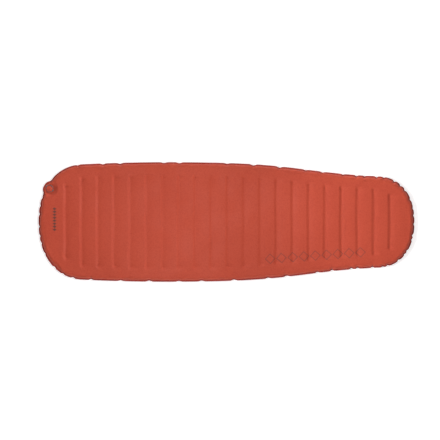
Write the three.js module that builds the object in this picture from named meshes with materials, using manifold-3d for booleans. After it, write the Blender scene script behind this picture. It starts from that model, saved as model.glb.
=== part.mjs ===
// Self-inflating sleeping pad: two welded fabric covers around a cored foam slab, with a flat two-stage
// valve in a small lobe at one corner of the head end.
// Millimetres. +X points to the foot end, +Z up. The origin is on the ground under the middle of the pad.
import * as THREE from 'three';
import { mergeVertices } from 'three/addons/utils/BufferGeometryUtils.js';
import Module from 'manifold-3d';

const wasm = await Module();
wasm.setup();

// ---------- driving dimensions ----------
const LENGTH = 1830;
const THICKNESS = 38;
const WIDEST_HALF = 291; // half of the width across the shoulders
const FOOT_NARROWING = 77; // how much each side draws in towards the feet
const TAPER_MIDDLE = 400;
const TAPER_SPREAD = 150;
const HEAD_NARROWING = 11; // the slight draw-in from the shoulders to the head
const SHOULDER_X = -230;
const HEAD_TAPER_LENGTH = 470;
const HEAD_ROUND = 215; // length of the round at each end
const FOOT_ROUND = 176;
const END_POWER = 2.25; // superellipse power of both ends

const COVER = 0.5; // laminated fabric
const GAP = 0.3; // clearance between neighbouring pieces
const WELD_WIDTH = 7; // flat welded margin outside the inflated part
const EDGE_ROUND = 30; // how far in from the weld the covers become flat
const MID = THICKNESS / 2; // height of the weld

const GROOVES = 21;
const FIRST_GROOVE_X = -781;
const GROOVE_PITCH = 78.9;
const GROOVE_MARGIN = 48; // from the end of a groove to the edge of the pad
const GROOVE_END_REACH = 34; // a groove near an end shortens with the outline this far from it
const GROOVE_DEPTH = 3;
const GROOVE_RADIUS = 28;
const CORE_SLOT_WIDTH = 28;

const VALVE_X = -861;
const VALVE_Y = 163;
const VALVE_TURN = THREE.MathUtils.degToRad(146.5); // the lobe points away from the pad this way
const LOBE_BACK = 11; // from the valve's axis back to the lobe's own centre
const LOBE_HALF_LENGTH = 43;
const LOBE_HALF_WIDTH = 39;
const LOBE_POWER = 2.4;
const LOBE_EDGE_ROUND = 4.5;
const LOBE_HALF_THICKNESS = 8;
const DECK = MID + LOBE_HALF_THICKNESS; // height of the fabric around the valve
const RECESS_RADIUS = 22.5; // the pad's top draws back around the valve in a cone

// valve, in its own frame: Z = 0 on the fabric, +X towards the lobe's tip
const SEAT = { inner: 16.2, outer: 18, ledge: 14.2, lip: 20, cageInner: 15, cageOuter: 16.6 };
const SEAT_Z = { top: 2.2, ledgeTop: -2, bottom: -3.2, lipTop: -1.9, cage: -9.5 };
const RING = { bore: 11.5, plug: 13.2, flange: 15.8, counterbore: 13 };
const RING_Z = { top: 2, counterbore: 1, flange: -0.5, bottom: -5, spider: -3.8 };
const RING_HINGE = { x: 20.3, z: 1.8, bar: 0.6, bore: 0.9, knuckle: 1.4, halfWidth: 4 };
const LID = { radius: 16, skirtInner: 9.4, skirtOuter: 10.9, cut: -13.4 };
const LID_Z = { bottom: 2.6, top: 3.8, skirt: -1.2 };
const LID_HINGE = { y: -15, z: 3.6, bar: 0.45, bore: 0.75, knuckle: 1.1, halfWidth: 2.9 };
const EAR_GAP = 0.3;
const EAR_WIDTH = 1.6;
const TAB_WIDTH = 9;
const TAB_REACH = 21.5;
const ROUND_STEPS = 40;
const SMALL_STEPS = 14;

// ---------- materials ----------
function finish(colour, roughness, metalness = 0) {
  return new THREE.MeshStandardMaterial({ color: colour, roughness, metalness });
}
const topFabric = finish(0xbf5340, 0.72);
const bottomFabric = finish(0xa8432f, 0.78);
const foam = finish(0xe6dcc0, 0.95);
const clearTpu = finish(0xcfc8bd, 0.45);
const greyNylon = finish(0x4a4b4e, 0.5);
const redNylon = finish(0x9c3a2b, 0.5);
const silicone = finish(0xd9d6cf, 0.4);
const sealRubber = finish(0x1c1c1d, 0.6);

// ---------- solids ----------
function solid(geometry) {
  const bare = geometry.clone();
  bare.deleteAttribute('normal');
  bare.deleteAttribute('uv');
  const merged = mergeVertices(bare, 1e-4);
  const corners = merged.index.array;
  const kept = [];
  for (let i = 0; i < corners.length; i += 3) {
    const [a, b, c] = [corners[i], corners[i + 1], corners[i + 2]];
    if (a !== b && b !== c && c !== a) kept.push(a, b, c);
  }
  return new wasm.Manifold(new wasm.Mesh({
    numProp: 3,
    vertProperties: new Float32Array(merged.attributes.position.array),
    triVerts: new Uint32Array(kept),
  }));
}

function piece(name, body, material) {
  const mesh = body.getMesh();
  const geometry = new THREE.BufferGeometry();
  geometry.setAttribute('position', new THREE.BufferAttribute(mesh.vertProperties, 3));
  geometry.setIndex(new THREE.BufferAttribute(mesh.triVerts, 1));
  geometry.computeVertexNormals();
  const result = new THREE.Mesh(geometry, material);
  result.name = name;
  return result;
}

function box(x0, x1, y0, y1, z0, z1) {
  const geometry = new THREE.BoxGeometry(x1 - x0, y1 - y0, z1 - z0);
  geometry.translate((x0 + x1) / 2, (y0 + y1) / 2, (z0 + z1) / 2);
  return solid(geometry);
}

// turned about Z from a profile of [radius, height] points, anticlockwise
function turned(profile, steps = ROUND_STEPS) {
  const points = profile.map(([r, z]) => new THREE.Vector2(r, z));
  const geometry = new THREE.LatheGeometry(points, steps);
  geometry.rotateX(Math.PI / 2);
  return solid(geometry);
}

function turnedRing(inner, outer, z0, z1) {
  return turned([[inner, z0], [outer, z0], [outer, z1], [inner, z1], [inner, z0]]);
}

function turnedDisc(radius, z0, z1, steps = ROUND_STEPS) {
  return turned([[0, z0], [radius, z0], [radius, z1], [0, z1]], steps);
}

function sealRing(radius, thickness, z) {
  const geometry = new THREE.TorusGeometry(radius, thickness, 8, ROUND_STEPS);
  geometry.translate(0, 0, z);
  return solid(geometry);
}

function barAlongY(radius, halfLength, x, z) {
  const geometry = new THREE.CylinderGeometry(radius, radius, 2 * halfLength, SMALL_STEPS);
  geometry.translate(x, 0, z);
  return solid(geometry);
}

function barAlongX(radius, halfLength, y, z) {
  const geometry = new THREE.CylinderGeometry(radius, radius, 2 * halfLength, SMALL_STEPS);
  geometry.rotateZ(Math.PI / 2);
  geometry.translate(0, y, z);
  return solid(geometry);
}

// ---------- the pad's outline ----------
function sideHalfWidth(x) {
  const footward = FOOT_NARROWING / (1 + Math.exp((TAPER_MIDDLE - x) / TAPER_SPREAD));
  const headward = Math.min(0, x - SHOULDER_X) / HEAD_TAPER_LENGTH;
  return WIDEST_HALF - footward - HEAD_NARROWING * headward ** 2;
}

function endFactor(fraction) {
  return (1 - Math.max(0, fraction) ** END_POWER) ** (1 / END_POWER);
}

function halfWidth(x) {
  const headStart = -LENGTH / 2 + HEAD_ROUND;
  const footStart = LENGTH / 2 - FOOT_ROUND;
  const head = endFactor((headStart - x) / HEAD_ROUND);
  const foot = endFactor((x - footStart) / FOOT_ROUND);
  return sideHalfWidth(x) * head * foot;
}

function padOutline() {
  const endSteps = 9;
  const sideSteps = 9;
  const headStart = -LENGTH / 2 + HEAD_ROUND;
  const footStart = LENGTH / 2 - FOOT_ROUND;
  const stations = [];
  for (let i = 1; i < endSteps; i++) {
    const angle = (i / endSteps) * Math.PI / 2;
    stations.push(footStart + FOOT_ROUND * Math.cos(angle) ** (2 / END_POWER));
  }
  for (let i = 0; i <= sideSteps; i++) {
    stations.push(footStart + (headStart - footStart) * i / sideSteps);
  }
  for (let i = endSteps - 1; i > 0; i--) {
    const angle = (i / endSteps) * Math.PI / 2;
    stations.push(headStart - HEAD_ROUND * Math.cos(angle) ** (2 / END_POWER));
  }
  const upper = stations.map((x) => new THREE.Vector2(x, halfWidth(x)));
  const lower = stations.map((x) => new THREE.Vector2(x, -halfWidth(x))).reverse();
  const foot = new THREE.Vector2(LENGTH / 2, 0);
  const head = new THREE.Vector2(-LENGTH / 2, 0);
  return new THREE.Shape([foot, ...upper, head, ...lower]);
}

// the lobe's outline is a superellipse, turned and moved to the valve
function lobeOutline() {
  const steps = 28;
  const points = [];
  const centre = new THREE.Vector2(VALVE_X, VALVE_Y);
  for (let i = 0; i < steps; i++) {
    const angle = (i / steps) * 2 * Math.PI;
    const along = Math.sign(Math.cos(angle)) * Math.abs(Math.cos(angle)) ** (2 / LOBE_POWER);
    const across = Math.sign(Math.sin(angle)) * Math.abs(Math.sin(angle)) ** (2 / LOBE_POWER);
    const point = new THREE.Vector2(LOBE_HALF_LENGTH * along - LOBE_BACK, LOBE_HALF_WIDTH * across);
    points.push(point.rotateAround(new THREE.Vector2(), VALVE_TURN).add(centre));
  }
  return new THREE.Shape(points);
}

function plate(shape, z0, z1) {
  const geometry = new THREE.ExtrudeGeometry(shape, { depth: z1 - z0, bevelEnabled: false });
  geometry.translate(0, 0, z0);
  return solid(geometry);
}

// a pillow over an outline: flat top and bottom, sides rounded by a quarter ellipse above and below
function pillow(shape, margin, round, halfThickness) {
  const wall = 1;
  const rise = halfThickness - wall / 2;
  const geometry = new THREE.ExtrudeGeometry(shape, {
    depth: wall,
    bevelEnabled: true,
    bevelThickness: rise,
    bevelSize: round,
    bevelOffset: -margin - round,
    bevelSegments: 3,
  });
  geometry.translate(0, 0, MID - wall / 2);
  return solid(geometry);
}

// the space around the valve from which the inflated part stays back, larger by the given clearance
function valveRecess(clearance) {
  const height = THICKNESS - DECK + 2;
  const foot = RECESS_RADIUS + clearance;
  const cone = turned([[0, -clearance], [foot, -clearance], [foot + height, height], [0, height]]);
  return cone.translate([VALVE_X, VALVE_Y, DECK]);
}

function inflatedBody(inset) {
  const pad = pillow(padOutline(), WELD_WIDTH + inset, EDGE_ROUND, MID - inset);
  const lobe = pillow(lobeOutline(), WELD_WIDTH + inset, LOBE_EDGE_ROUND, LOBE_HALF_THICKNESS - inset);
  return pad.subtract(valveRecess(inset)).add(lobe);
}

// ---------- grooves ----------
function grooveHalfLength(x) {
  const narrower = Math.min(halfWidth(x - GROOVE_END_REACH), halfWidth(x + GROOVE_END_REACH));
  return narrower - GROOVE_MARGIN;
}

// a trough is the foot of a long ellipsoid, so it fades out towards both of its ends
function trough(x, extra) {
  const radius = GROOVE_RADIUS + extra;
  const axisHeight = THICKNESS - GROOVE_DEPTH + GROOVE_RADIUS;
  const reach = Math.sqrt(GROOVE_RADIUS ** 2 - (GROOVE_RADIUS - GROOVE_DEPTH) ** 2);
  const geometry = new THREE.SphereGeometry(radius, 24, 16);
  geometry.scale(1, grooveHalfLength(x) / reach, 1);
  geometry.translate(x, 0, axisHeight);
  return solid(geometry);
}

function coreSlot(x) {
  const round = CORE_SLOT_WIDTH / 2;
  const straight = grooveHalfLength(x) - round;
  const shape = new THREE.Shape();
  shape.absarc(x, straight, round, 0, Math.PI, false);
  shape.absarc(x, -straight, round, Math.PI, 2 * Math.PI, false);
  const geometry = new THREE.ExtrudeGeometry(shape, {
    depth: THICKNESS + 2, bevelEnabled: false, curveSegments: 5,
  });
  geometry.translate(0, 0, -1);
  return solid(geometry);
}

function eachGroove(make) {
  const made = [];
  for (let k = 0; k < GROOVES; k++) {
    made.push(make(FIRST_GROOVE_X + k * GROOVE_PITCH));
  }
  return made;
}

function withoutAll(body, cutters) {
  return cutters.reduce((rest, cutter) => rest.subtract(cutter), body);
}

// ---------- covers and core ----------
function weldMargin(z0, z1) {
  return plate(padOutline(), z0, z1).add(plate(lobeOutline(), z0, z1));
}

function topCover() {
  const margin = weldMargin(MID + GAP / 2, MID + GAP / 2 + COVER);
  const outside = withoutAll(inflatedBody(0), eachGroove((x) => trough(x, 0)));
  const inside = withoutAll(inflatedBody(COVER), eachGroove((x) => trough(x, COVER)));
  const upper = box(-LENGTH, LENGTH, -LENGTH, LENGTH, MID + GAP / 2, 2 * THICKNESS);
  const valveHole = turnedDisc(SEAT.outer + GAP, -1, 1).translate([VALVE_X, VALVE_Y, DECK]);
  return outside.add(margin).subtract(inside).intersect(upper).subtract(valveHole);
}

function bottomCover() {
  const margin = weldMargin(MID - GAP / 2 - COVER, MID - GAP / 2);
  const lower = box(-LENGTH, LENGTH, -LENGTH, LENGTH, -THICKNESS, MID - GAP / 2);
  return inflatedBody(0).add(margin).subtract(inflatedBody(COVER)).intersect(lower);
}

function foamCore() {
  const inset = COVER + 2 * GAP;
  const slab = pillow(padOutline(), WELD_WIDTH + inset, EDGE_ROUND, MID - inset);
  const height = THICKNESS - DECK;
  const clear = RECESS_RADIUS + inset;
  const valveSpace = turned([
    [0, -THICKNESS], [clear, -THICKNESS], [clear, -inset], [clear + height + 2, height + 2 - inset],
    [0, height + 2 - inset],
  ]).translate([VALVE_X, VALVE_Y, DECK]);
  return withoutAll(slab.subtract(valveSpace), eachGroove(coreSlot));
}

// ---------- valve ----------
function weldFlange() {
  const below = -COVER - GAP;
  return turnedRing(SEAT.outer + GAP, SEAT.lip, below - 0.8, below);
}

// a hinge ear: a post and a round head about the hinge's axis
function seatEar(y0, y1) {
  const head = barAlongY(RING_HINGE.knuckle + 0.1, (y1 - y0) / 2, RING_HINGE.x, RING_HINGE.z);
  const post = box(SEAT.inner + 0.6, RING_HINGE.x, y0, y1, GAP, RING_HINGE.z);
  return post.add(head.translate([0, (y0 + y1) / 2, 0]));
}

function valveSeat() {
  const { inner, outer, ledge, lip, cageInner, cageOuter } = SEAT;
  const { top, ledgeTop, bottom, lipTop, cage } = SEAT_Z;
  const ring = turned([
    [ledge, bottom], [cageInner, bottom], [cageInner, cage], [cageOuter, cage], [cageOuter, bottom],
    [lip, bottom], [lip, lipTop], [outer, lipTop], [outer, top], [inner, top], [inner, ledgeTop],
    [ledge, ledgeTop], [ledge, bottom],
  ]);
  const notchHalf = RING_HINGE.halfWidth + 0.5;
  const notches = [
    box(inner - 2, lip, -notchHalf, notchHalf, GAP, top + 1),
    box(-lip, -inner + 2, -notchHalf, notchHalf, GAP, top + 1),
  ];
  const windows = 8;
  for (let i = 0; i < windows; i++) {
    const window = box(cageInner - 2, cageOuter + 1, -2.5, 2.5, cage - 1, bottom - 1.8);
    notches.push(window.rotate([0, 0, (i + 0.5) * 360 / windows]));
  }
  const earStart = RING_HINGE.halfWidth + EAR_GAP;
  const ears = seatEar(earStart, earStart + EAR_WIDTH).add(seatEar(-earStart - EAR_WIDTH, -earStart));
  const bar = barAlongY(RING_HINGE.bar, earStart + EAR_WIDTH / 2, RING_HINGE.x, RING_HINGE.z);
  return withoutAll(ring, notches).add(ears).add(bar);
}

// a flat finger tab with rounded corners that starts inside the piece it is moulded on
function tab(start, reach, z0, z1) {
  const half = TAB_WIDTH / 2;
  const round = 2.5;
  const shape = new THREE.Shape();
  shape.moveTo(start, -half);
  shape.absarc(reach - round, -half + round, round, -Math.PI / 2, 0, false);
  shape.absarc(reach - round, half - round, round, 0, Math.PI / 2, false);
  shape.lineTo(start, half);
  const geometry = new THREE.ExtrudeGeometry(shape, {
    depth: z1 - z0, bevelEnabled: false, curveSegments: 4,
  });
  geometry.translate(0, 0, z0);
  return solid(geometry);
}

function lidHingeEar(x0, x1) {
  const head = barAlongX(LID_HINGE.knuckle + 0.1, (x1 - x0) / 2, LID_HINGE.y, LID_HINGE.z);
  const post = box(x0, x1, LID_HINGE.y - 0.1, LID_HINGE.y + 1.1, RING_Z.top - 0.2, LID_HINGE.z);
  return post.add(head.translate([(x0 + x1) / 2, 0, 0]));
}

function spider() {
  const { bore } = RING;
  const { bottom, spider: top } = RING_Z;
  let frame = turnedDisc(2.6, bottom, top, SMALL_STEPS);
  for (let i = 0; i < 3; i++) {
    frame = frame.add(box(-bore - 0.5, bore + 0.5, -1, 1, bottom, top).rotate([0, 0, i * 60]));
  }
  return frame.subtract(turnedDisc(1.1, bottom - 1, top + 1, SMALL_STEPS));
}

function deflateRing() {
  const { bore, plug, flange, counterbore } = RING;
  const { top, counterbore: step, flange: flangeBottom, bottom } = RING_Z;
  const ring = turned([
    [bore, bottom], [plug, bottom], [plug, flangeBottom], [flange, flangeBottom], [flange, top],
    [counterbore, top], [counterbore, step], [bore, step], [bore, bottom],
  ]);
  const { x, z, bore: hole, knuckle, halfWidth: half } = RING_HINGE;
  const arm = box(flange - 0.8, x, -half, half, GAP * 2, top);
  const clip = barAlongY(knuckle, half, x, z);
  const clipOpening = barAlongY(hole, half + 1, x, z).add(box(x, x + 2, -half - 1, half + 1, z - 0.5, z + 0.5));
  const pull = tab(flange - 0.8, TAB_REACH, GAP * 2, top).rotate([0, 0, 180]);
  const earStart = LID_HINGE.halfWidth + EAR_GAP;
  const ears = lidHingeEar(earStart, earStart + EAR_WIDTH).add(lidHingeEar(-earStart - EAR_WIDTH, -earStart));
  const bar = barAlongX(LID_HINGE.bar, earStart + EAR_WIDTH / 2, LID_HINGE.y, LID_HINGE.z);
  const body = ring.add(spider()).add(arm).add(clip).add(pull);
  return body.subtract(clipOpening).add(ears).add(bar);
}

function checkFlap() {
  const top = RING_Z.bottom - GAP;
  return turnedRing(1.1, 12.8, top - 0.7, top);
}

// a headed stud: its upper head rests on the spider, its lower head stops the flap
function flapStud() {
  const upper = RING_Z.spider + GAP;
  const lower = -8.3;
  return turned([
    [0, lower - 0.6], [2, lower - 0.6], [2, lower], [0.8, lower], [0.8, upper], [2, upper],
    [1.5, upper + 0.8], [0, upper + 0.8],
  ], SMALL_STEPS);
}

function valveLid() {
  const { radius, skirtInner, skirtOuter, cut } = LID;
  const { bottom, top, skirt } = LID_Z;
  const disc = turned([
    [0, bottom], [skirtInner, bottom], [skirtInner, skirt], [skirtOuter, skirt], [skirtOuter, bottom],
    [radius, bottom], [radius, top - 0.4], [radius - 0.4, top], [0, top],
  ]);
  const { y, z, bore, knuckle, halfWidth: half } = LID_HINGE;
  const beyondCut = box(-radius, radius, -radius - 1, cut, bottom - 1, top + 1);
  const tongue = box(-half, half, y, cut + 0.5, bottom + 0.2, top);
  const clip = barAlongX(knuckle, half, y, z);
  const clipOpening = barAlongX(bore, half + 1, y, z).add(box(-half - 1, half + 1, y - 2, y, z - 0.4, z + 0.4));
  const pull = tab(radius - 1, TAB_REACH, bottom, top).rotate([0, 0, 90]);
  return disc.subtract(beyondCut).add(tongue).add(clip).add(pull).subtract(clipOpening);
}

// the round of cover fabric bonded to the lid's top
function lidFacing() {
  const start = LID_Z.top + GAP;
  const round = turnedDisc(LID.radius - 0.3, start, start + 0.4);
  const edge = LID.cut + 0.5;
  return round.subtract(box(-LID.radius, LID.radius, -LID.radius - 1, edge, start - 1, start + 1));
}

function valve() {
  const group = new THREE.Group();
  group.position.set(VALVE_X, VALVE_Y, DECK);
  group.rotation.z = VALVE_TURN;
  group.add(
    piece('valve_weld_flange', weldFlange(), clearTpu),
    piece('valve_seat', valveSeat(), greyNylon),
    piece('deflate_ring', deflateRing(), greyNylon),
    piece('ring_seal', sealRing(15, 0.45, -1.25), sealRubber),
    piece('check_flap', checkFlap(), silicone),
    piece('flap_stud', flapStud(), clearTpu),
    piece('valve_lid', valveLid(), redNylon),
    piece('lid_seal', sealRing(12.1, 0.5, 1.8), sealRubber),
    piece('lid_facing', lidFacing(), topFabric),
  );
  return group;
}

const pad = new THREE.Group();
pad.add(
  piece('top_cover', topCover(), topFabric),
  piece('bottom_cover', bottomCover(), bottomFabric),
  piece('foam_core', foamCore(), foam),
  valve(),
);

export default pad;
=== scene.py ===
"""Self-inflating sleeping pad: the looks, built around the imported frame.

Metres, in the frame's own axes: +X towards the foot end, +Y towards the side with the valve lobe, +Z up.
The two covers share one grid: an inner patch of columns and rows, and a band of rows from the patch out to
the outline. Heights are then worked out from each point's distance to the outline, the grooves and the valve.
"""

import bpy
import numpy as np
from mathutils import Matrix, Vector


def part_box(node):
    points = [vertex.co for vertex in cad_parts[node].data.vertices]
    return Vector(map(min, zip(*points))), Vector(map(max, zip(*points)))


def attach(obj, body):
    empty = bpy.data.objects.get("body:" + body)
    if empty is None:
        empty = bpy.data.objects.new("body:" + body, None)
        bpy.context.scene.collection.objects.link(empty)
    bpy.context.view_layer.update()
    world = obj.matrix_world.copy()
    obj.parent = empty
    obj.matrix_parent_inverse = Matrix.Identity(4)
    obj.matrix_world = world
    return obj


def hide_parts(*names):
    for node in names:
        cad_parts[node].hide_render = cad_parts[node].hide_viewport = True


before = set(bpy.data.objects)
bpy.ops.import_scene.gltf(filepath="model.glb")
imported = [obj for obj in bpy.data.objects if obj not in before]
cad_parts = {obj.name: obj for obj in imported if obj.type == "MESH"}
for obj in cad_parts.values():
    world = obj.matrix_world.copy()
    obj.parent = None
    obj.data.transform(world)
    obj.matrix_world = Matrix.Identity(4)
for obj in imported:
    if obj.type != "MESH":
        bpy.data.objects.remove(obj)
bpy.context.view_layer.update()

MM = 0.001
low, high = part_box("top_cover")
HALF_LENGTH = (high.x - low.x) / 2
TOP = high.z
flange_low, flange_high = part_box("valve_weld_flange")

# outline
WIDEST_HALF = 291 * MM
FOOT_NARROWING = 77 * MM
TAPER_MIDDLE = 400 * MM
TAPER_SPREAD = 150 * MM
HEAD_NARROWING = 11 * MM
SHOULDER_X = -230 * MM
HEAD_TAPER_LENGTH = 470 * MM
HEAD_ROUND = 215 * MM
FOOT_ROUND = 176 * MM
END_POWER = 2.25

# covers
CLOTH = 0.5 * MM
MID = TOP / 2
WELD_WIDTH = 7 * MM
SPREAD = 1.5 * MM  # how far the edge bulges out between its notches
WELD_RISE = 0.55 * MM  # from the middle height to the outer face of one cover at the weld
EDGE_ROUND = 17 * MM
EDGE_POWER = 2.8

# grooves
GROOVES = 21
FIRST_GROOVE_X = -781 * MM
GROOVE_PITCH = 78.9 * MM
GROOVE_MARGIN = 48 * MM
GROOVE_END_REACH = 34 * MM
GROOVE_DEPTH = 4.0 * MM
STEEP_WIDTH = 16 * MM
GENTLE_POWER = 3.0
GROOVE_FADE = 22 * MM

# valve lobe, in the valve's own frame: +X towards the lobe's tip
VALVE = np.array([(flange_low.x + flange_high.x) / 2, (flange_low.y + flange_high.y) / 2])
VALVE_TURN = np.radians(146.5)
LOBE_BACK = 11 * MM
LOBE_HALF = np.array([43, 39]) * MM
LOBE_POWER = 2.4
DECK = 27 * MM
HOLE_RADIUS = 18.3 * MM
DECK_RADIUS = 21 * MM
RECESS_RADIUS = 44 * MM

# foam core
CORE_GAP = 0.12 * MM
CORE_EDGE_GAP = 5 * MM
CORE_VALVE_GAP = 1.5 * MM
CORE_SLOT = 25 * MM
CORE_NOTCH = 25 * MM
CORE_INSET = 9 * MM
CORE_BAND_START = 20 * MM  # from here inwards the extra gap at the edge fades out

# grid
PATCH_INSET = 45 * MM
COVER_GRID = {"columns": 600, "head_rows": (20, 34, 70), "band_rows": 15}
CORE_GRID = {"columns": 300, "head_rows": (10, 17, 35), "band_rows": 8}
CLOTH_GRID = {"columns": 300, "head_rows": (10, 17, 35), "band_rows": 11}
CORNER = np.radians(60)
END_BLEND = 190 * MM

# cloth pass on the band between the weld and the bonded foam
CLOTH_FRAMES = 20
CLOTH_SLACK = 0.022
CLOTH_PRESSURE = 5.0
MOST_MOVEMENT = 4.5 * MM
MOST_DENT = 1.2 * MM
RISE_SHARE = 0.4  # of the simulated vertical movement that is kept

# printed marks on the top: plain lozenges
PRINT_CHAIN = {
    "start": (0.185, -0.181), "angle": np.radians(4.1), "pitch": 55 * MM, "height": 54 * MM, "count": 9}
PRINT_ROW = {
    "start": (-0.836, 0.0715), "angle": np.radians(-90), "pitch": 14.5 * MM, "height": 22 * MM, "count": 8}
PRINT_LINE = 0.09
CHAIN_INK = (0.19, 0.042, 0.030, 1)
ROW_INK = (0.055, 0.035, 0.03, 1)

# the lid's round of cut fabric: its flat size, where it is cut off at the hinge, and its crown
FACING_RADIUS = 15.7 * MM
FACING_CUT = 12.9 * MM
FACING_CROWN = 0.55 * MM

groove_rng = np.random.default_rng(7)


# ---------- small helpers ----------
def smooth(t):
    """Smoothstep: 0 below 0, 1 above 1, and 3t^2 - 2t^3 between."""
    t = np.clip(t, 0, 1)
    return t * t * (3 - 2 * t)


def to_valve(points):
    """World x, y to the valve's own frame."""
    c, s = np.cos(VALVE_TURN), np.sin(VALVE_TURN)
    d = points - VALVE
    return np.stack([d[..., 0] * c + d[..., 1] * s, d[..., 1] * c - d[..., 0] * s], -1)


def from_valve(points):
    """The valve's own frame to world x, y."""
    c, s = np.cos(VALVE_TURN), np.sin(VALVE_TURN)
    x, y = points[..., 0], points[..., 1]
    return np.stack([x * c - y * s, x * s + y * c], -1) + VALVE


def along(points):
    """Length from the first point to each point of a path."""
    steps = np.linalg.norm(np.diff(points[:, :2], axis=0), axis=1)
    return np.concatenate([[0], np.cumsum(steps)])


def resample(points, count):
    """count + 1 rows at equal lengths along a path whose first two columns are x and y."""
    length = along(points)
    at = np.linspace(0, length[-1], count + 1)
    return np.stack([np.interp(at, length, column) for column in points.T], -1)


def make_mesh(name, points, quads, smooth_faces=None):
    """An object from an array of points and an array of four-cornered faces, shaded smooth unless told."""
    mesh = bpy.data.meshes.new(name)
    mesh.vertices.add(len(points))
    mesh.vertices.foreach_set("co", np.asarray(points, np.float32).ravel())
    mesh.loops.add(4 * len(quads))
    mesh.loops.foreach_set("vertex_index", np.asarray(quads, np.int32).ravel())
    mesh.polygons.add(len(quads))
    mesh.polygons.foreach_set("loop_start", np.arange(0, 4 * len(quads), 4, dtype=np.int32))
    if smooth_faces is None:
        smooth_faces = np.ones(len(quads), bool)
    mesh.polygons.foreach_set("use_smooth", smooth_faces)
    mesh.update(calc_edges=True)
    piece = bpy.data.objects.new(name, mesh)
    bpy.context.scene.collection.objects.link(piece)
    return piece


def disc_faces(rows, columns):
    """Faces of a polar grid of rows x columns points, inmost row first, then one hub point."""
    index = np.arange(rows * columns).reshape(rows, columns)
    after = np.roll(index, -1, 1)
    quads = np.stack([index[:-1], index[1:], after[1:], after[:-1]], -1).reshape(-1, 4)
    inmost = index[0]
    hub = np.full(columns // 2, rows * columns)
    fan = np.stack([hub, inmost[0::2], inmost[1::2], np.roll(inmost, -2)[0::2]], -1)
    return np.vstack([quads, fan])


def add_attribute(piece, name, values):
    attribute = piece.data.attributes.new(name, "FLOAT", "POINT")
    attribute.data.foreach_set("value", np.asarray(values, np.float32))


def solidify(piece, thickness):
    """Gives a sheet its thickness, inwards from its outer face."""
    wall = piece.modifiers.new("thickness", "SOLIDIFY")
    wall.thickness = thickness
    wall.offset = -1


# ---------- the outline ----------
def side_half_width(x):
    """Half width without the end rounds: a logistic taper to the feet and a small parabola to the head."""
    footward = FOOT_NARROWING / (1 + np.exp((TAPER_MIDDLE - x) / TAPER_SPREAD))
    headward = np.minimum(0, x - SHOULDER_X) / HEAD_TAPER_LENGTH
    return WIDEST_HALF - footward - HEAD_NARROWING * headward**2


def end_factor(fraction):
    """Superellipse: (1 - u^n)^(1/n)."""
    return (1 - np.clip(fraction, 0, 1) ** END_POWER) ** (1 / END_POWER)


HEAD_START = -HALF_LENGTH + HEAD_ROUND
FOOT_START = HALF_LENGTH - FOOT_ROUND


def half_width(x):
    head = end_factor((HEAD_START - x) / HEAD_ROUND)
    foot = end_factor((x - FOOT_START) / FOOT_ROUND)
    return side_half_width(x) * head * foot


def end_arc(start, reach, angles):
    """An end round by angle: x leaves start by reach cos(a)^(2/n), and y is the side's half width times
    sin(a)^(2/n)."""
    power = 2 / END_POWER
    x = start + reach * np.cos(angles) ** power
    y = side_half_width(x) * np.sign(np.sin(angles)) * np.abs(np.sin(angles)) ** power
    return np.stack([x, y], -1)


def with_inset(path):
    """Adds to each point of an anticlockwise path the point PATCH_INSET inside it, along its normal."""
    tangent = np.gradient(path, axis=0)
    tangent /= np.linalg.norm(tangent, axis=1, keepdims=True)
    inward = np.stack([-tangent[:, 1], tangent[:, 0]], -1)
    return np.hstack([path, path + PATCH_INSET * inward])


def main_sides():
    """The four sides of the outline, anticlockwise from the upper head corner, each with its inset path."""
    fine = 600
    head = end_arc(HEAD_START, -HEAD_ROUND, np.linspace(CORNER, -CORNER, fine))
    foot = end_arc(FOOT_START, FOOT_ROUND, np.linspace(-CORNER, CORNER, fine))
    to_side = np.linspace(-CORNER, -np.pi / 2, 200)
    head_turn = end_arc(HEAD_START, -HEAD_ROUND, to_side)
    foot_turn = end_arc(FOOT_START, FOOT_ROUND, to_side[::-1])
    x = np.linspace(HEAD_START, FOOT_START, 2 * fine)[1:-1]
    bottom = np.vstack([head_turn, np.stack([x, -half_width(x)], -1), foot_turn])
    top = bottom[::-1] * [1, -1]
    whole = with_inset(np.vstack([head, bottom[1:], foot[1:], top[1:]]))
    ends = np.cumsum([len(head), len(bottom) - 1, len(foot) - 1, len(top) - 1])
    starts = np.concatenate([[0], ends[:-1] - 1])
    return [whole[a:b] for a, b in zip(starts, ends)]


def lobe_arc():
    """The part of the lobe's superellipse outside the main outline, from its upper end to its lower."""
    angle = np.linspace(-np.pi, np.pi, 2001)
    power = 2 / LOBE_POWER
    local = np.stack([np.sign(np.cos(angle)) * np.abs(np.cos(angle)) ** power,
                      np.sign(np.sin(angle)) * np.abs(np.sin(angle)) ** power], -1) * LOBE_HALF
    points = from_valve(local - [LOBE_BACK, 0])
    outside = np.abs(points[:, 1]) > half_width(np.clip(points[:, 0], -HALF_LENGTH, HALF_LENGTH))
    return points[outside]


def head_side(path, rows):
    """The head side with the lobe let in: of three stretches, the middle one's outer path is the lobe's.
    rows are the steps from the upper corner to the lobe, along the lobe, and on to the lower corner."""
    lobe = lobe_arc()
    joins = [np.argmin(np.linalg.norm(path[:, :2] - end, axis=1)) for end in (lobe[0], lobe[-1])]
    cuts = [0, *joins, len(path) - 1]
    stretches = [resample(path[a:b + 1], n)[:-1] for a, b, n in zip(cuts, cuts[1:], rows)]
    stretches[1][:, :2] = resample(lobe, rows[1])[:-1]
    return np.vstack([*stretches, path[-1:]])


def rounded_joins(loop, first, last):
    """Softens the two inner corners where the lobe meets the outline."""
    smoothed = loop.copy()
    weight = np.zeros(len(loop))
    for join in (first, last):
        offset = np.abs(np.arange(len(loop)) - join)
        weight = np.maximum(weight, smooth((3 - offset) / 3))
    for _ in range(3):
        mean = (np.roll(smoothed, 1, 0) + np.roll(smoothed, -1, 0)) / 2
        smoothed += weight[:, None] * (mean - smoothed)
    return smoothed


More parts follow.
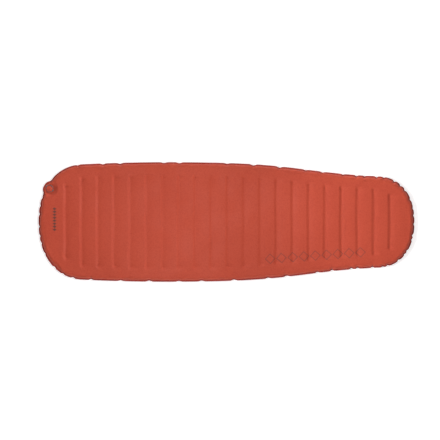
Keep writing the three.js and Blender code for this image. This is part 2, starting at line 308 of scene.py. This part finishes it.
# ---------- the grid of both covers ----------
def cover_grid(columns, head_rows, band_rows):
    """Points, faces and band layout of a cover seen from above.

    The patch blends the straight columns between the upper and lower inset paths with the bend of the head
    and foot paths, which dies out within END_BLEND of each end. The band runs from the patch's edge to the
    outline in rows that are closer together near the outline, and its last row repeats the outline, for the
    height where the two covers meet.
    """
    head_path, bottom_path, foot_path, top_path = main_sides()
    head = head_side(head_path, head_rows)
    bottom = resample(bottom_path, columns)
    foot = resample(foot_path, sum(head_rows))
    top = resample(top_path, columns)
    loop = np.vstack([head[:-1], bottom[:-1], foot[:-1], top[:-1]])

    upper, lower = top[::-1, 2:], bottom[:, 2:]
    share = np.linspace(0, 1, sum(head_rows) + 1)[None, :, None]
    patch = upper[:, None] * (1 - share) + lower[:, None] * share
    reach = along(bottom[:, 2:])
    for path, distance, column in ((head[:, 2:], reach, 0), (foot[::-1, 2:], reach[-1] - reach, -1)):
        bend = path - patch[column]
        patch += ((1 - smooth(distance / END_BLEND))[:, None, None]) * bend[None]

    index = np.arange(patch.shape[0] * patch.shape[1]).reshape(patch.shape[:2])
    ring = np.concatenate([index[0, :-1], index[:-1, -1], index[-1, :0:-1], index[:0:-1, 0]])
    outline = rounded_joins(loop[:, :2], head_rows[0], head_rows[0] + head_rows[1])
    fraction = np.append(1 - (1 - np.linspace(0, 1, band_rows)[1:]) ** 1.35, 1)
    band = loop[None, :, 2:] * (1 - fraction[:, None, None]) + outline[None] * fraction[:, None, None]
    band_index = index.size + np.arange(band.shape[0] * band.shape[1]).reshape(band.shape[:2])
    rows = np.vstack([ring[None], band_index])

    quads = [np.stack([index[:-1, :-1], index[:-1, 1:], index[1:, 1:], index[1:, :-1]], -1).reshape(-1, 4)]
    after = np.roll(rows, -1, 1)
    quads.append(np.stack([rows[:-1], rows[1:], after[1:], after[:-1]], -1).reshape(-1, 4))
    points = np.vstack([patch.reshape(-1, 2), band.reshape(-1, 2)])
    return points, np.vstack(quads), band_index, outline, fraction


def edge_distance(points, band_index, outline):
    """Distance of each point to the outline: exact in the band, and PATCH_INSET or more inside it."""
    distance = np.full(len(points), PATCH_INSET)
    band = points[band_index]
    best = np.full(band.shape[:2], np.inf)
    for shift in range(-16, 17):
        a = np.roll(outline, shift, 0)
        ab = np.roll(outline, shift - 1, 0) - a
        t = np.clip(((band - a) * ab).sum(-1) / (ab * ab).sum(-1), 0, 1)
        best = np.minimum(best, np.linalg.norm(band - a - t[..., None] * ab, axis=-1))
    distance[band_index] = best
    return distance


# ---------- heights ----------
def groove_half_length(x):
    narrower = np.minimum(half_width(x - GROOVE_END_REACH), half_width(x + GROOVE_END_REACH))
    return narrower - GROOVE_MARGIN


def groove_drop(points):
    """How far the cover dips: cos(pi u / 2)^2 down the steep side, which faces the feet, and (1 - v)^p up the
    gentle side, which reaches across the next rib. Both fade out over GROOVE_FADE at the groove's ends."""
    place = (points[:, 0] - FIRST_GROOVE_X) / GROOVE_PITCH
    deepest = np.zeros(len(points))
    for number in (np.floor(place), np.floor(place) + 1):
        number = np.clip(number, 0, GROOVES - 1).astype(int)
        centre = FIRST_GROOVE_X + number * GROOVE_PITCH
        wander = 0.8 * MM * np.sin(points[:, 1] / (45 * MM) + groove_phase[number])
        offset = points[:, 0] - centre - wander
        steep = np.cos(np.pi / 2 * np.clip(-offset / STEEP_WIDTH, 0, 1)) ** 2
        gentle = (1 - np.clip(offset / (GROOVE_PITCH - STEEP_WIDTH), 0, 1)) ** GENTLE_POWER
        inside = groove_half_length(centre) - np.abs(points[:, 1])
        dimple = 1 + 0.4 * np.exp(-((inside / GROOVE_FADE - 1) ** 2) * 4)
        depth = GROOVE_DEPTH * groove_strength[number] * dimple * smooth(inside / GROOVE_FADE)
        deepest = np.maximum(deepest, depth * np.where(offset < 0, steep, gentle))
    return deepest


groove_phase = groove_rng.uniform(0, 2 * np.pi, GROOVES)
groove_strength = groove_rng.uniform(0.88, 1.1, GROOVES)


def inflated_rise(distance, top_rise):
    """Quarter superellipse from the weld up to top_rise, EDGE_ROUND further in."""
    t = np.clip((distance - WELD_WIDTH) / EDGE_ROUND, 0, 1)
    return top_rise * (1 - (1 - t) ** EDGE_POWER) ** (1 / EDGE_POWER)


def valve_limit(points, deck_rise, top_rise):
    """The most a cover may rise near the valve: deck_rise in DECK_RADIUS, top_rise past RECESS_RADIUS."""
    radius = np.linalg.norm(points - VALVE, axis=1)
    return deck_rise + (top_rise - deck_rise) * smooth((radius - DECK_RADIUS) / (RECESS_RADIUS - DECK_RADIUS))


def weld_ripple(points, band_index, outline, distance):
    """Up and down ripple of the weld, as a sum of three sines along the outline, dying out inwards."""
    closed = np.vstack([outline, outline[:1]])
    length = along(closed)
    turn = 2 * np.pi * length[:-1] / length[-1]
    rng = np.random.default_rng(11)
    wave = np.zeros(len(outline))
    for count, size in ((61, 0.5), (97, 0.45), (151, 0.3)):
        wave += size * np.sin(count * turn + rng.uniform(0, 2 * np.pi))
    ripple = np.zeros(len(points))
    ripple[band_index] = wave[None] * MM
    return ripple * (1 - smooth((distance - 3 * MM) / (16 * MM)))


def scallops(points, band_index, outline, distance):
    """Draws the edge in at small notches: far apart at the shoulders, close together round the ends."""
    closed = np.vstack([outline, outline[:1]])
    length = along(closed)
    at = length[:-1]
    apart = np.interp(np.abs(outline[:, 0] + 0.1), [0.35, 0.6, 0.85], [150 * MM, 80 * MM, 42 * MM])
    rng = np.random.default_rng(5)
    phase = np.cumsum(np.diff(length) / apart)
    last = int(phase[-1])
    notches = np.searchsorted(phase, np.arange(1, last) + rng.uniform(-0.3, 0.3, last - 1))
    draw = np.zeros(len(outline))
    for k in notches:
        gap = np.abs(at - at[k])
        gap = np.minimum(gap, length[-1] - gap)
        spread = apart[k] * 0.05 + 4 * MM
        draw = np.maximum(draw, rng.uniform(3, 6) * MM * np.exp(-((gap / spread) ** 2)))
    draw = (draw - SPREAD) * smooth((np.linalg.norm(outline - VALVE, axis=1) - 45 * MM) / (20 * MM))
    tangent = np.roll(outline, -1, 0) - np.roll(outline, 1, 0)
    tangent /= np.linalg.norm(tangent, axis=1, keepdims=True)
    inward = np.stack([-tangent[:, 1], tangent[:, 0]], -1)
    fade = 1 - smooth(distance[band_index] / (27 * MM))
    moved = points.copy()
    moved[band_index] += fade[..., None] * (draw[:, None] * inward)[None]
    return moved


def open_valve_hole(points, quads):
    """Cuts the round hole for the valve: faces inside it go, and the ragged edge is moved onto the circle."""
    local = to_valve(points[:, :2])
    radius = np.linalg.norm(local, axis=1)
    inside = radius < HOLE_RADIUS
    kept = ~inside[quads].all(axis=1)
    quads = quads[kept]
    used = np.unique(quads)
    snap = used[inside[used]]
    points[snap, :2] = from_valve(local[snap] * (HOLE_RADIUS / radius[snap])[:, None])
    renumber = np.full(len(points), -1)
    renumber[used] = np.arange(len(used))
    return points[used], renumber[quads], used


def cover_height(layout, up):
    """Height of the outer face of a cover: up is 1 for the top and -1 for the underside."""
    distance = layout["distance"]
    flat_points = layout["points"]
    full = TOP - MID - WELD_RISE
    deck = DECK - MID - WELD_RISE if up > 0 else 10 * MM
    rise = inflated_rise(distance, full)
    rise = np.minimum(rise, valve_limit(flat_points, deck, full))
    dip = groove_drop(flat_points) * smooth((distance - WELD_WIDTH) / EDGE_ROUND)
    if up < 0:
        dip = dip * 0.6
    height = np.maximum(MID + up * (WELD_RISE + rise - dip) + layout["ripple"], 0)
    last_row = layout["band_index"][-1]
    height[last_row] = MID + layout["ripple"][last_row]
    return height


def simulated_band():
    """How the fabric of the top cover moves between the weld and the bonded foam, as an array of band rows
    and loop points. The cloth starts with a little slack and is blown outwards, so that it puckers.
    What it does is then limited to MOST_MOVEMENT, faded out towards the bonded foam, cut to RISE_SHARE
    upwards and kept from denting by more than MOST_DENT."""
    layout = cover_layout(CLOTH_GRID)
    start = np.column_stack([layout["moved"], cover_height(layout, 1)])
    distance = layout["distance"]
    free = smooth((distance - 0.6 * WELD_WIDTH) / (4 * MM)) * smooth((PATCH_INSET - distance) / (20 * MM))
    free *= smooth((np.linalg.norm(layout["points"] - VALVE, axis=1) - 30 * MM) / (10 * MM))
    start[:, 2] += np.random.default_rng(3).uniform(-0.15, 0.15, len(start)) * MM * free
    near = (distance[layout["quads"]] < PATCH_INSET - 1e-6).any(axis=1)
    quads = layout["quads"][near]
    used = np.unique(quads)
    renumber = np.full(len(start), -1)
    renumber[used] = np.arange(len(used))
    band = make_mesh("band_cloth", start[used], renumber[quads])
    pins = band.vertex_groups.new(name="pins")
    for index, loose in enumerate(free[used].tolist()):
        if loose < 0.999:
            pins.add([index], 1 - loose, "REPLACE")
    cloth = band.modifiers.new("cloth", "CLOTH")
    settings = cloth.settings
    settings.quality = 5
    settings.mass = 0.1
    settings.tension_stiffness = 20
    settings.compression_stiffness = 20
    settings.shear_stiffness = 8
    settings.bending_stiffness = 0.08
    settings.air_damping = 4
    settings.shrink_min = -CLOTH_SLACK
    settings.use_pressure = True
    settings.uniform_pressure_force = CLOTH_PRESSURE
    settings.vertex_group_mass = pins.name
    settings.effector_weights.gravity = 0
    cloth.point_cache.frame_start = 1
    cloth.point_cache.frame_end = CLOTH_FRAMES
    for step in range(1, CLOTH_FRAMES + 1):
        bpy.context.scene.frame_set(step)
    settled = band.evaluated_get(bpy.context.evaluated_depsgraph_get()).data
    end = np.empty(3 * len(used), np.float32)
    settled.vertices.foreach_get("co", end)
    moved = np.zeros_like(start)
    moved[used] = end.reshape(-1, 3) - start[used]
    bpy.data.objects.remove(band)
    bpy.context.scene.frame_set(1)
    length = np.linalg.norm(moved, axis=1, keepdims=True)
    moved *= MOST_MOVEMENT / np.maximum(length, MOST_MOVEMENT)
    moved *= smooth((PATCH_INSET - distance) / (24 * MM))[:, None]
    moved[:, 2] *= RISE_SHARE
    moved[:, 2] = np.maximum(moved[:, 2], -MOST_DENT)
    return moved[layout["band_index"]], layout["fraction"]


def band_movement(layout):
    """The simulated movement on a cover's own grid, which has twice as many loop points as the cloth's."""
    movement = np.zeros((len(layout["points"]), 3))
    coarse, coarse_fraction = simulated_band()
    fine = np.stack([coarse, (coarse + np.roll(coarse, -1, 1)) / 2], 2).reshape(len(coarse), -1, 3)
    for _ in range(2):
        fine = (np.roll(fine, 1, 1) + 2 * fine + np.roll(fine, -1, 1)) / 4
    at = np.searchsorted(coarse_fraction, layout["fraction"]).clip(1, len(coarse_fraction) - 1)
    low_at, high_at = coarse_fraction[at - 1], coarse_fraction[at]
    share = np.clip((layout["fraction"] - low_at) / np.maximum(high_at - low_at, 1e-9), 0, 1)[:, None, None]
    movement[layout["band_index"]] = fine[at - 1] * (1 - share) + fine[at] * share
    return movement


def build_cover(name, layout, movement, up):
    """One cover, from its heights and the cloth's movement. The underside's faces are turned over."""
    points = np.column_stack([layout["moved"], cover_height(layout, up)]) + movement * [1, 1, up]
    points[:, 2] = np.maximum(points[:, 2], 0)
    quads = layout["quads"] if up > 0 else layout["quads"][:, ::-1]
    edge = layout["distance"]
    if up > 0:
        points, quads, used = open_valve_hole(points, quads)
        edge = edge[used]
    cover = make_mesh(name, points, quads, edge[quads].max(axis=1) > 1e-6)
    add_attribute(cover, "edge", edge)
    return cover


def boundary_walls(quads, count):
    """Faces that close the open edges between a layer and the same layer count points further on."""
    edges = np.concatenate([quads[:, [k, (k + 1) % 4]] for k in range(4)])
    key = np.sort(edges, axis=1)
    _, first, times = np.unique(key, axis=0, return_index=True, return_counts=True)
    a, b = edges[first[times == 1]].T
    return np.stack([b, a, a + count, b + count], -1)


def build_core(layout):
    """The foam slab: it follows both covers at CORE_GAP, and is cut away under the grooves, round the valve
    and at the weld."""
    flat_points, distance, quads = layout["points"], layout["distance"], layout["quads"]
    centre = flat_points[quads].mean(axis=1)
    groove = FIRST_GROOVE_X + GROOVE_PITCH * np.clip(
        np.round((centre[:, 0] - FIRST_GROOVE_X) / GROOVE_PITCH), 0, GROOVES - 1)
    in_slot = (np.abs(centre[:, 0] - groove) < CORE_SLOT / 2) & (
        np.abs(centre[:, 1]) < groove_half_length(groove))
    by_valve = np.linalg.norm(centre - VALVE, axis=1) < CORE_NOTCH
    at_weld = distance[quads].min(axis=1) < CORE_INSET
    quads = quads[~(in_slot | by_valve | at_weld)]
    used = np.unique(quads)
    renumber = np.full(len(flat_points), -1)
    renumber[used] = np.arange(len(used))
    quads = renumber[quads]
    plan = layout["moved"][used]
    in_band = 1 - smooth((distance[used] - CORE_BAND_START) / (PATCH_INSET - CORE_BAND_START))
    from_valve_edge = np.linalg.norm(flat_points[used] - VALVE, axis=1) - RECESS_RADIUS
    by_recess = 1 - smooth(from_valve_edge / (15 * MM))
    gap = CLOTH + CORE_GAP + CORE_EDGE_GAP * in_band + CORE_VALVE_GAP * by_recess
    upper = np.column_stack([plan, cover_height(layout, 1)[used] - gap])
    lower = np.column_stack([plan, cover_height(layout, -1)[used] + gap])
    count = len(used)
    faces = np.vstack([quads, quads[:, ::-1] + count, boundary_walls(quads, count)])
    return make_mesh("pad_core", np.vstack([upper, lower]), faces)


def cover_layout(grid):
    """Everything about a grid that its heights and faces need, by name."""
    points, quads, band_index, outline, fraction = cover_grid(**grid)
    distance = edge_distance(points, band_index, outline)
    return {
        "points": points,
        "quads": quads,
        "band_index": band_index,
        "fraction": fraction,
        "distance": distance,
        "ripple": weld_ripple(points, band_index, outline, distance),
        "moved": scallops(points, band_index, outline, distance),
    }


# ---------- materials ----------
class Shader:
    """A node material with its principled shader, and short calls that add and join nodes."""

    def __init__(self, name):
        self.material = bpy.data.materials.new(name)
        self.material.use_nodes = True
        self.nodes = self.material.node_tree.nodes
        self.links = self.material.node_tree.links
        self.surface = self.nodes["Principled BSDF"]
        self.position = self.nodes.new("ShaderNodeTexCoord").outputs["Object"]

    def join(self, value, socket):
        if isinstance(value, bpy.types.NodeSocket):
            self.links.new(value, socket)
        else:
            socket.default_value = value

    def math(self, operation, *values):
        node = self.nodes.new("ShaderNodeMath")
        node.operation = operation
        for value, socket in zip(values, node.inputs):
            self.join(value, socket)
        return node.outputs[0]

    def noise(self, scale, detail=3, roughness=0.5, stretch=None):
        node = self.nodes.new("ShaderNodeTexNoise")
        node.inputs["Scale"].default_value = scale
        node.inputs["Detail"].default_value = detail
        node.inputs["Roughness"].default_value = roughness
        source = self.position
        if stretch:
            mapping = self.nodes.new("ShaderNodeMapping")
            mapping.inputs["Scale"].default_value = stretch
            self.links.new(self.position, mapping.inputs["Vector"])
            source = mapping.outputs[0]
        self.links.new(source, node.inputs["Vector"])
        return node.outputs["Fac"]

    def ramp(self, value, from_low, from_high, to_low, to_high):
        node = self.nodes.new("ShaderNodeMapRange")
        self.join(value, node.inputs["Value"])
        limits = {"From Min": from_low, "From Max": from_high, "To Min": to_low, "To Max": to_high}
        for key, number in limits.items():
            node.inputs[key].default_value = number
        return node.outputs["Result"]

    def mix(self, factor, first, second):
        node = self.nodes.new("ShaderNodeMix")
        node.data_type = "RGBA"
        self.join(factor, node.inputs["Factor"])
        self.join(first, node.inputs["A"])
        self.join(second, node.inputs["B"])
        return node.outputs["Result"]

    def axes(self):
        node = self.nodes.new("ShaderNodeSeparateXYZ")
        self.links.new(self.position, node.inputs[0])
        return node.outputs

    def attribute(self, name):
        node = self.nodes.new("ShaderNodeAttribute")
        node.attribute_name = name
        return node.outputs["Fac"]

    def bump(self, height, distance, strength=1.0, under=None):
        node = self.nodes.new("ShaderNodeBump")
        node.inputs["Distance"].default_value = distance
        node.inputs["Strength"].default_value = strength
        self.join(height, node.inputs["Height"])
        if under is not None:
            self.links.new(under, node.inputs["Normal"])
        return node.outputs["Normal"]

    def finish(self, colour, roughness, normal, **constants):
        self.join(colour, self.surface.inputs["Base Color"])
        self.join(roughness, self.surface.inputs["Roughness"])
        self.links.new(normal, self.surface.inputs["Normal"])
        for key, value in constants.items():
            self.surface.inputs[key.replace("_", " ")].default_value = value
        return self.material


def weave_height(shader, thread):
    """Plain weave: the product of two sines, one along each thread direction."""
    x, y, _ = shader.axes()
    turns = 2 * np.pi / thread
    across = shader.math("SINE", shader.math("MULTIPLY", x, turns))
    lengthwise = shader.math("SINE", shader.math("MULTIPLY", y, turns))
    return shader.math("MULTIPLY", across, lengthwise)


def band_mask(shader, value, low_edge, high_edge, soft):
    """1 where value lies between the two edges, with soft sides."""
    above = shader.ramp(value, low_edge - soft, low_edge + soft, 0, 1)
    below = shader.ramp(value, high_edge - soft, high_edge + soft, 1, 0)
    return shader.math("MULTIPLY", above, below)


def lozenge_chain(shader, start, angle, pitch, height, count, line=None):
    """A plain chain of lozenges, |p| / (pitch / 2) + |q| / (height / 2) = 1 in each cell: thin outlines if
    line is given, and filled if not."""
    x, y, _ = shader.axes()
    c, s = float(np.cos(angle)), float(np.sin(angle))
    dx = shader.math("SUBTRACT", x, start[0])
    dy = shader.math("SUBTRACT", y, start[1])
    p = shader.math("ADD", shader.math("MULTIPLY", dx, c), shader.math("MULTIPLY", dy, s))
    q = shader.math("SUBTRACT", shader.math("MULTIPLY", dy, c), shader.math("MULTIPLY", dx, s))
    cell = shader.math("SUBTRACT", shader.math("FRACT", shader.math("DIVIDE", p, pitch)), 0.5)
    ring = shader.math("ADD", shader.math("MULTIPLY", shader.math("ABSOLUTE", cell), 2.0),
                       shader.math("MULTIPLY", shader.math("ABSOLUTE", q), 2 / height))
    if line:
        off = shader.math("ABSOLUTE", shader.math("SUBTRACT", ring, 0.86))
        inked = shader.ramp(off, line * 0.7, line * 1.3, 1, 0)
    else:
        inked = shader.ramp(ring, 0.86, 0.96, 1, 0)
    return shader.math("MULTIPLY", inked, band_mask(shader, p, 0, pitch * count, 0.5 * MM))


def cover_fabric(name, base, deep, rim, printed):
    """Coated plain-weave fabric: fine weave, uneven dye, dark flecks, small creases, and painted shade along
    the weld at the edge, where the cover turns under.
    """
    shader = Shader(name)
    edge = shader.attribute("edge")
    # the weld band: it carries the painted shade of the edge and the pressed lines of the weld
    weld_press_and_shade = shader.ramp(edge, WELD_WIDTH - 1 * MM, WELD_WIDTH + 1 * MM, 1, 0)
    dye = shader.noise(3.2, 4, 0.6)
    yarn = shader.noise(700, 2, 0.7)
    colour = shader.mix(shader.ramp(dye, 0.3, 0.7, 0, 1), base, deep)
    colour = shader.mix(shader.ramp(yarn, 0.35, 0.75, 0, 0.22), colour, deep)
    # dark flecks of the fabric itself, in the same dark red as the painted edge shade
    colour = shader.mix(shader.ramp(shader.noise(150, 3, 0.8), 0.42, 0.75, 0, 0.45), colour, rim)
    if printed:
        chain = lozenge_chain(shader, **PRINT_CHAIN, line=PRINT_LINE)
        colour = shader.mix(shader.math("MULTIPLY", chain, 0.85), colour, CHAIN_INK)
        row = lozenge_chain(shader, **PRINT_ROW)
        colour = shader.mix(shader.math("MULTIPLY", row, 0.8), colour, ROW_INK)
    # painted shade: the weld band is darkened patchily towards the dark red, for the shade the edge sits in
    patchy = shader.ramp(shader.noise(9, 3), 0.35, 0.6, 0.75, 1)
    colour = shader.mix(shader.math("MULTIPLY", weld_press_and_shade, patchy), colour, rim)
    roughness = shader.ramp(shader.noise(14, 4), 0.3, 0.7, 0.6, 0.74)
    creases = shader.bump(shader.noise(38, 5, 0.55), 1.2 * MM, 0.35)
    press_lines = shader.math("SINE", shader.math("MULTIPLY", edge, 2 * np.pi / (1.4 * MM)))
    press = shader.math("MULTIPLY", weld_press_and_shade, press_lines)
    pressed = shader.bump(press, 0.15 * MM, 0.6, creases)
    woven = shader.bump(weave_height(shader, 0.9 * MM), 0.035 * MM, 0.5, pressed)
    return shader.finish(
        colour, roughness, woven, Sheen_Weight=0.18, Sheen_Roughness=0.3, Specular_IOR_Level=0.22)


def open_cell_foam():
    """Cream open-cell foam: cell walls from the distance to Voronoi edges, the cell hollows painted darker as
    shade, and a soft mottle.
    """
    shader = Shader("open_cell_foam")
    cells = shader.nodes.new("ShaderNodeTexVoronoi")
    cells.feature = "DISTANCE_TO_EDGE"
    cells.inputs["Scale"].default_value = 620
    shader.links.new(shader.position, cells.inputs["Vector"])
    wall = cells.outputs["Distance"]
    mottle = shader.ramp(shader.noise(30, 3), 0.3, 0.7, 0, 1)
    colour = shader.mix(mottle, (0.78, 0.70, 0.50, 1), (0.70, 0.61, 0.41, 1))
    # painted shade: the middle of each cell, the hollow between its walls, is darkened
    colour = shader.mix(shader.ramp(wall, 0, 0.25, 0, 0.35), colour, (0.42, 0.34, 0.2, 1))
    return shader.finish(colour, 0.95, shader.bump(wall, 0.6 * MM, 0.8))


def moulded(name, base, dark, roughness, **constants):
    """Moulded plastic or rubber: fine spark-eroded grain, slight flow marks and rubbed roughness."""
    shader = Shader(name)
    flow = shader.ramp(shader.noise(120, 4, 0.6, (1, 1, 3)), 0.3, 0.7, 0, 1)
    colour = shader.mix(flow, base, dark)
    rough = shader.ramp(shader.noise(300, 3), 0.3, 0.7, roughness - 0.06, roughness + 0.08)
    grain = shader.bump(shader.noise(2600, 2, 0.6), 0.05 * MM, 0.35)
    return shader.finish(colour, rough, grain, **constants)


def floor_paint():
    """Pale matt studio floor with a barely visible mottle."""
    shader = Shader("studio_floor")
    colour = shader.mix(shader.noise(2, 2), (0.56, 0.56, 0.56, 1), (0.6, 0.6, 0.6, 1))
    shader.surface.inputs["Emission Color"].default_value = (1, 1, 1, 1)
    return shader.finish(colour, 0.9, shader.bump(shader.noise(60, 2), 0.2 * MM, 0.1), Emission_Strength=0.7)


def paint(piece, material):
    piece.data.materials.clear()
    piece.data.materials.append(material)


# ---------- valve ----------
def lid_facing():
    """The round of cover fabric on the lid: a polar grid, cut off flat at the hinge, crowned and with a
    pressed ring near its rim, closed at its middle by a small hub."""
    _, corner_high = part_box("lid_facing")
    turn = np.linspace(0, 2 * np.pi, 96, endpoint=False)
    to_cut = np.full(len(turn), 1.0)
    at_hinge = np.sin(turn) < 0
    to_cut[at_hinge] = FACING_CUT / np.maximum(-np.sin(turn[at_hinge]), 1e-6)
    reach = np.minimum(FACING_RADIUS, to_cut)
    share = np.linspace(0.02, 1, 26)
    r = share[:, None] * reach[None]
    local = np.stack([r * np.cos(turn), r * np.sin(turn)], -1)
    crown = FACING_CROWN * (1 - share**2)
    ring = -0.25 * MM * np.exp(-(((share - 0.86) / 0.04) ** 2))
    drop = -0.2 * MM * smooth((share - 0.93) / 0.07)
    height = corner_high.z + (crown + ring + drop)[:, None] + 0 * r
    points = np.concatenate([from_valve(local), height[..., None]], -1).reshape(-1, 3)
    points = np.vstack([points, np.append(VALVE, corner_high.z + FACING_CROWN)])
    facing = make_mesh("lid_fabric", points, disc_faces(*r.shape))
    add_attribute(facing, "edge", np.full(len(points), 1.0))
    solidify(facing, 0.4 * MM)
    return facing


# ---------- the set ----------
def make_studio():
    """Floor and backdrop in one: a profile of a flat run, a quarter circle and a wall, turned round Z."""
    flat, bend, wall = 9.0, 3.0, 2.5
    angle = np.linspace(0, np.pi / 2, 13)
    profile = np.vstack([
        np.column_stack([np.linspace(0.02, flat, 30), np.zeros(30)]),
        np.column_stack([flat + bend * np.sin(angle), bend * (1 - np.cos(angle))])[1:],
        [[flat + bend, bend + wall]],
    ])
    turn = np.linspace(0, 2 * np.pi, 96, endpoint=False)
    points = np.stack([profile[:, None, 0] * np.cos(turn), profile[:, None, 0] * np.sin(turn),
                       np.repeat(profile[:, 1:], len(turn), axis=1)], -1).reshape(-1, 3)
    points = np.vstack([points, [0, 0, 0]])
    floor = make_mesh("studio", points, disc_faces(len(profile), len(turn)))
    paint(floor, floor_paint())


def aim(lamp, place, target):
    lamp.location = place
    lamp.rotation_euler = (Vector(target) - Vector(place)).to_track_quat("-Z", "Y").to_euler()
    bpy.context.scene.collection.objects.link(lamp)


def steady(light, strength):
    """Makes a lamp's light not weaken with distance, for even light along the whole pad."""
    light.energy = strength
    light.use_nodes = True
    falloff = light.node_tree.nodes.new("ShaderNodeLightFalloff")
    falloff.inputs["Strength"].default_value = 1
    emission = light.node_tree.nodes["Emission"]
    light.node_tree.links.new(falloff.outputs["Constant"], emission.inputs["Strength"])


def make_soft_lamp(name, place, target, size, strength):
    light = bpy.data.lights.new(name, "AREA")
    light.shape = "DISK"
    light.size = size
    steady(light, strength)
    aim(bpy.data.objects.new(name, light), place, target)


def make_spot(name, place, target, half_angle, strength):
    light = bpy.data.lights.new(name, "SPOT")
    light.spot_size = 2 * half_angle
    light.spot_blend = 1
    light.shadow_soft_size = 0.15
    steady(light, strength)
    aim(bpy.data.objects.new(name, light), place, target)


def make_camera():
    """Straight above the pad, through a long lens."""
    camera = bpy.data.cameras.new("camera")
    camera.lens = 100
    camera.sensor_width = 36
    camera.clip_end = 100
    holder = bpy.data.objects.new("camera", camera)
    holder.location = (-0.0316, 0.0097, 5.98)
    bpy.context.scene.collection.objects.link(holder)
    bpy.context.scene.camera = holder


def make_world():
    world = bpy.data.worlds.new("studio")
    world.use_nodes = True
    world.node_tree.nodes["Background"].inputs["Color"].default_value = (1, 1, 1, 1)
    world.node_tree.nodes["Background"].inputs["Strength"].default_value = 0.15
    bpy.context.scene.world = world


bpy.context.scene.view_settings.view_transform = "Standard"
make_camera()
make_world()
make_studio()
make_soft_lamp("overhead", (-0.2, 0.03, 1.0), (-0.2, 0.03, 0), 0.3, 7.0)
make_spot("to_feet", (-0.3, 0.1, 1.1), (1.46, 0.05, 0), np.radians(38), 23)
make_spot("to_head", (-0.4, 0.1, 1.1), (-1.3, 0.05, 0), np.radians(38), 7)
make_soft_lamp("far_side", (0.2, 2.6, 0.7), (0.1, 0, 0), 1.0, 3.5)
make_soft_lamp("near_side", (0.2, -2.6, 0.7), (0.1, 0, 0), 1.0, 2)

cover_plan = cover_layout(COVER_GRID)
puckers = band_movement(cover_plan)
# the third colour of each fabric is the dark of its flecks and of the painted shade along the weld
top_fabric = cover_fabric(
    "top_fabric", (0.475, 0.066, 0.033, 1), (0.44, 0.058, 0.028, 1), (0.3, 0.024, 0.014, 1), True)
under_fabric = cover_fabric(
    "under_fabric", (0.42, 0.06, 0.035, 1), (0.37, 0.05, 0.03, 1), (0.27, 0.02, 0.012, 1), False)

top = build_cover("pad_top", cover_plan, puckers, 1)
paint(top, top_fabric)
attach(top, "pad")
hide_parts("top_cover")

bottom = build_cover("pad_underside", cover_plan, puckers, -1)
paint(bottom, under_fabric)
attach(bottom, "pad")
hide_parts("bottom_cover")

facing = lid_facing()
paint(facing, top_fabric)
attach(facing, "lid")
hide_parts("lid_facing")

nylon = moulded("grey_nylon", (0.13, 0.125, 0.125, 1), (0.1, 0.096, 0.096, 1), 0.46)
red_nylon = moulded("red_nylon", (0.34, 0.045, 0.028, 1), (0.29, 0.036, 0.022, 1), 0.44)
clear_tpu = moulded("clear_tpu", (0.62, 0.58, 0.50, 1), (0.56, 0.51, 0.43, 1), 0.36, Coat_Weight=0.3)
silicone = moulded("silicone", (0.70, 0.68, 0.63, 1), (0.64, 0.62, 0.57, 1), 0.32)
seal_rubber = moulded("seal_rubber", (0.012, 0.012, 0.012, 1), (0.02, 0.02, 0.02, 1), 0.5)

core = build_core(cover_layout(CORE_GRID))
paint(core, open_cell_foam())
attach(core, "pad")
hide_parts("foam_core")

for node, material in (
    ("valve_weld_flange", clear_tpu),
    ("valve_seat", nylon),
    ("deflate_ring", nylon),
    ("ring_seal", seal_rubber),
    ("check_flap", silicone),
    ("flap_stud", clear_tpu),
    ("valve_lid", red_nylon),
    ("lid_seal", seal_rubber),
):
    paint(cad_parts[node], material)
